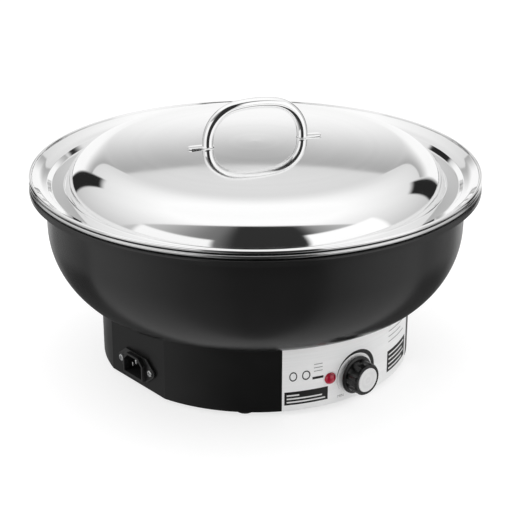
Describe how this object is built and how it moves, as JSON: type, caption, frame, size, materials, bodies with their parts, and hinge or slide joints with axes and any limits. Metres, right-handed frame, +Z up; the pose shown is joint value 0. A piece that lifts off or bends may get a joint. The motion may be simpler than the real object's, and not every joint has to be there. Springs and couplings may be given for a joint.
{
  "type": "electric buffet server",
  "caption": "Round electric chafing dish: domed steel lid with a bow handle, lift-out food pan over a heated water well, black bowl, and a round base with thermostat knob, lamp and mains inlet.",
  "frame": {"origin": "on the vertical axis of the bowl, level with the underside of the feet", "axes": "+Z up; the front, with the thermostat knob, faces -Y; the mains inlet faces -X"},
  "size_m": [0.39, 0.39, 0.232],
  "materials": {
    "mirror_steel": "mirror-polished stainless steel",
    "pan_steel": "fine polished stainless steel",
    "black_paint": "satin black paint with a fine texture",
    "base_plastic": "moulded black plastic, fine matt texture",
    "cover_steel": "black painted sheet steel",
    "plate_metal": "brushed, clear lacquered, with printed dial",
    "black_rubber": "matt",
    "seal_silicone": "translucent grey silicone",
    "knob_plastic": "moulded black, semi-gloss",
    "cap_metal": "turned and brushed",
    "lens_red": "translucent red",
    "inlet_plastic": "moulded black",
    "pin_metal": "nickel plated",
    "zinc_steel": "zinc plated",
    "copper": "drawn copper",
    "plate_aluminium": "mill finish",
    "heater_steel": "heat-darkened nickel steel",
    "case_plastic": "ivory moulding compound",
    "brown_lead": "brown insulation",
    "blue_lead": "blue insulation",
    "green_lead": "green and yellow insulation",
    "sleeved_lead": "heat-resisting silicone sleeve"
  },
  "bodies": {
    "base_unit": {"water_pan": "pan_steel", "outer_bowl": "black_paint", "rim_seal": "seal_silicone", "base_shell": "base_plastic", "base_cover": "cover_steel", "rubber_feet": "black_rubber", "foot_screws": "zinc_steel", "bowl_screws": "zinc_steel", "bowl_nuts": "zinc_steel", "control_plate": "plate_metal", "thermostat_body": "case_plastic", "thermostat_nut": "zinc_steel", "capillary_tube": "copper", "sensing_bulb": "copper", "bulb_clip": "zinc_steel", "lamp_lens": "lens_red", "lamp_housing": "inlet_plastic", "lamp_clip": "zinc_steel", "inlet_housing": "inlet_plastic", "inlet_pins": "pin_metal", "inlet_screws": "zinc_steel", "inlet_nuts": "zinc_steel", "diffuser_plate": "plate_aluminium", "heating_element": "heater_steel", "element_terminals": "zinc_steel", "clamp_bars": "zinc_steel", "clamp_studs": "zinc_steel", "clamp_nuts": "zinc_steel", "heat_shield": "pan_steel", "shield_nuts": "zinc_steel", "thermal_cutout": "case_plastic", "terminal_block": "case_plastic", "terminal_screws": "zinc_steel", "block_screw": "zinc_steel", "earth_screw": "zinc_steel", "earth_tag": "zinc_steel", "live_wire": "brown_lead", "neutral_wire": "blue_lead", "earth_wire": "green_lead", "heater_wires": "sleeved_lead", "lamp_wires": "sleeved_lead"},
    "lid": {"lid_shell": "mirror_steel", "lid_handle": "mirror_steel", "handle_tabs": "mirror_steel"},
    "food_pan": {"food_pan": "pan_steel"},
    "knob": {"knob": "knob_plastic", "knob_cap": "cap_metal", "thermostat_shaft": "zinc_steel"}
  },
  "joints": [
    {"name": "food_pan_lift", "type": "slide", "parent": "base_unit", "child": "food_pan", "axis": [0, 0, 1], "range_m": [0, 0.12]},
    {"name": "lid_lift", "type": "slide", "parent": "food_pan", "child": "lid", "axis": [0, 0, 1], "range_m": [0, 0.1]},
    {"name": "knob_turn", "type": "hinge", "parent": "base_unit", "child": "knob", "pos_m": [-0.0098, -0.1382, 0.0255], "axis": [0, -1, 0], "range_deg": [-57, 213]}
  ]
}
